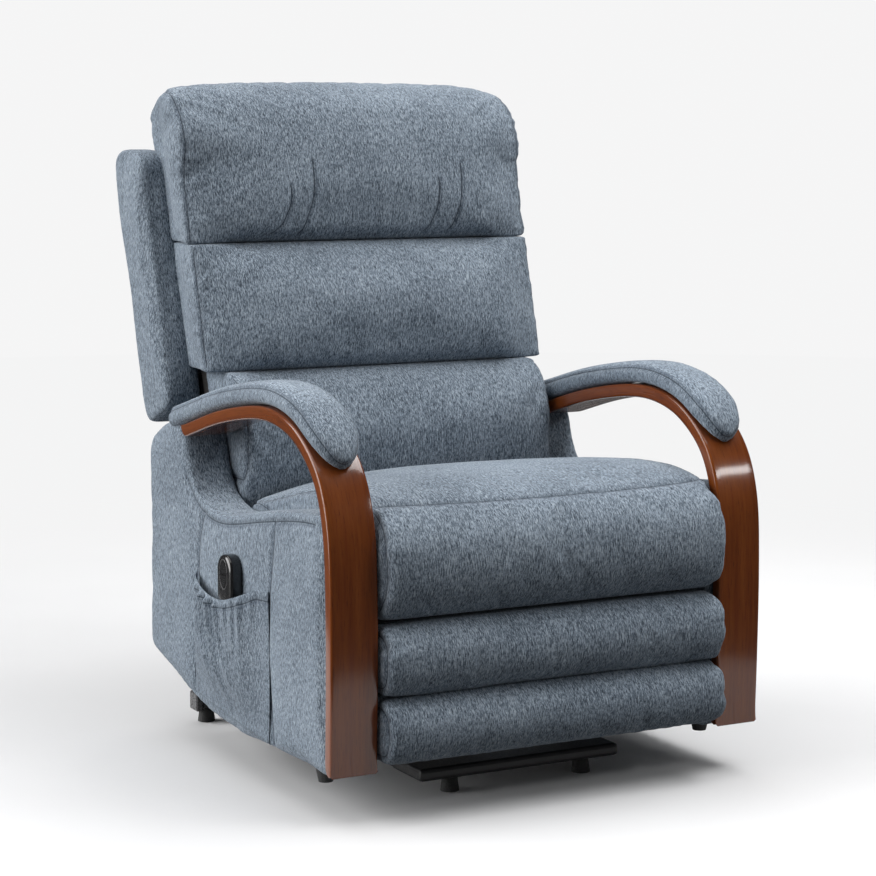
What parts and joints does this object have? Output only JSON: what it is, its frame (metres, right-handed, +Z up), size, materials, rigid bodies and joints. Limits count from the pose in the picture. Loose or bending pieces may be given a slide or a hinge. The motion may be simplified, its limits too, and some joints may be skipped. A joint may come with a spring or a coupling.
{
  "type": "lift recliner chair",
  "caption": "Upholstered power lift recliner with bentwood arms, a channelled back, a fold-out footrest, a tilting lift base and a pocketed handset.",
  "frame": {"origin": "on the floor, under the middle of the chair's bounding box", "axes": "+Z up, the chair faces -Y, X across it with the sitter's left at +X"},
  "size_m": [0.7748, 0.953, 1.091],
  "materials": {
    "fabric": "woven chenille",
    "varnished_wood": "gloss varnish",
    "black_steel": "satin",
    "rubber": "matte",
    "black_plastic": "gloss",
    "grey_plastic": "matte",
    "plywood": "bare",
    "bright_steel": "polished"
  },
  "bodies": {
    "base": {"base_rear_tube": "black_steel", "base_front_bar": "black_steel", "lift_motor": "black_plastic", "base_rail_left": "black_steel", "base_rail_right": "black_steel", "rear_tube_cap_left": "grey_plastic", "rear_tube_cap_right": "grey_plastic", "foot_pad_front_left": "rubber", "foot_pad_front_right": "rubber", "foot_pad_rear_left": "rubber", "foot_pad_rear_right": "rubber", "lift_bracket_left": "black_steel", "lift_bracket_right": "black_steel"},
    "lift_arms": {"lift_arm_left": "black_steel", "lift_arm_right": "black_steel", "lift_shaft": "black_steel"},
    "front_lift_links": {"front_lift_link_left": "black_steel", "front_lift_link_right": "black_steel"},
    "lift_rod": {"lift_rod": "bright_steel"},
    "chair_frame": {"lift_cross_tube": "black_steel", "seat_cross_front": "black_steel", "seat_cross_rear": "black_steel", "seat_deck": "plywood", "seat_cushion": "fabric", "side_pocket": "fabric", "recline_motor": "black_plastic", "front_link_hanger_left": "black_steel", "front_link_hanger_right": "black_steel", "frame_plate_left": "black_steel", "frame_plate_right": "black_steel", "side_panel_left": "fabric", "side_panel_right": "fabric", "arm_band_left": "varnished_wood", "arm_band_right": "varnished_wood", "arm_pad_left": "fabric", "arm_pad_right": "fabric", "front_glide_left": "rubber", "front_glide_right": "rubber"},
    "backrest": {"back_board": "plywood", "back_shell": "fabric", "lumbar_cushion": "fabric", "mid_back_cushion": "fabric", "headrest_cushion": "fabric", "back_wing_left": "fabric", "back_wing_right": "fabric", "back_hinge_arm_left": "black_steel", "back_hinge_arm_right": "black_steel"},
    "footrest_rear_links": {"footrest_rear_link_left": "black_steel", "footrest_rear_link_right": "black_steel", "footrest_shaft": "black_steel"},
    "footrest_fore_links": {"footrest_fore_link_left": "black_steel", "footrest_fore_link_right": "black_steel"},
    "footrest": {"footrest_board": "plywood", "footrest_upper_cushion": "fabric", "footrest_lower_cushion": "fabric"},
    "recline_rod": {"recline_rod": "bright_steel"},
    "handset": {"handset_body": "black_plastic"},
    "button_up": {"handset_button_up": "black_plastic"},
    "button_down": {"handset_button_down": "black_plastic"}
  },
  "joints": [
    {"name": "lift", "type": "hinge", "parent": "base", "child": "lift_arms", "pos_m": [0, -0.1, 0.075], "axis": [1, 0, 0], "range_deg": [0, 75]},
    {"name": "chair_tilt", "type": "hinge", "parent": "lift_arms", "child": "chair_frame", "pos_m": [0, 0.205, 0.085], "axis": [1, 0, 0], "range_deg": [-45, 0]},
    {"name": "front_link_swing", "type": "hinge", "parent": "base", "child": "front_lift_links", "pos_m": [0, -0.183, 0.073], "axis": [1, 0, 0], "range_deg": [0, 85.5]},
    {"name": "lift_rod_slide", "type": "slide", "parent": "base", "child": "lift_rod", "axis": [0, -0.9776, 0.2107], "range_m": [0, 0.1096]},
    {"name": "recline", "type": "hinge", "parent": "chair_frame", "child": "backrest", "pos_m": [0, 0.1, 0.36], "axis": [-1, 0, 0], "range_deg": [0, 35]},
    {"name": "footrest_open", "type": "hinge", "parent": "chair_frame", "child": "footrest_rear_links", "pos_m": [0, -0.248, 0.261], "axis": [-1, 0, 0], "range_deg": [0, 97.9]},
    {"name": "footrest_elbow", "type": "hinge", "parent": "footrest_rear_links", "child": "footrest_fore_links", "pos_m": [0, -0.214, 0.118], "axis": [-1, 0, 0], "range_deg": [-108.6, 0]},
    {"name": "footrest_tilt", "type": "hinge", "parent": "footrest_fore_links", "child": "footrest", "pos_m": [0, -0.378, 0.217], "axis": [-1, 0, 0], "range_deg": [0, 89.5]},
    {"name": "recline_rod_slide", "type": "slide", "parent": "chair_frame", "child": "recline_rod", "axis": [0, -0.9965, 0.0841], "range_m": [0, 0.0981]},
    {"name": "handset_lift_out", "type": "slide", "parent": "chair_frame", "child": "handset", "axis": [0, 0, 1], "range_m": [0, 0.14]},
    {"name": "button_up_press", "type": "slide", "parent": "handset", "child": "button_up", "axis": [1, 0, 0], "range_m": [0, 0.0012], "stiffness_N_per_m": 900},
    {"name": "button_down_press", "type": "slide", "parent": "handset", "child": "button_down", "axis": [1, 0, 0], "range_m": [0, 0.0012], "stiffness_N_per_m": 900}
  ],
  "couplings": [
    {"joint": "chair_tilt", "follows": "lift", "ratio": -0.6},
    {"joint": "front_link_swing", "follows": "lift", "ratio": 1.139},
    {"joint": "lift_rod_slide", "follows": "lift", "m_per_rad": 0.08371},
    {"joint": "footrest_elbow", "follows": "footrest_open", "ratio": -1.1093},
    {"joint": "footrest_tilt", "follows": "footrest_open", "ratio": 0.9132},
    {"joint": "recline_rod_slide", "follows": "footrest_open", "m_per_rad": 0.057376}
  ]
}
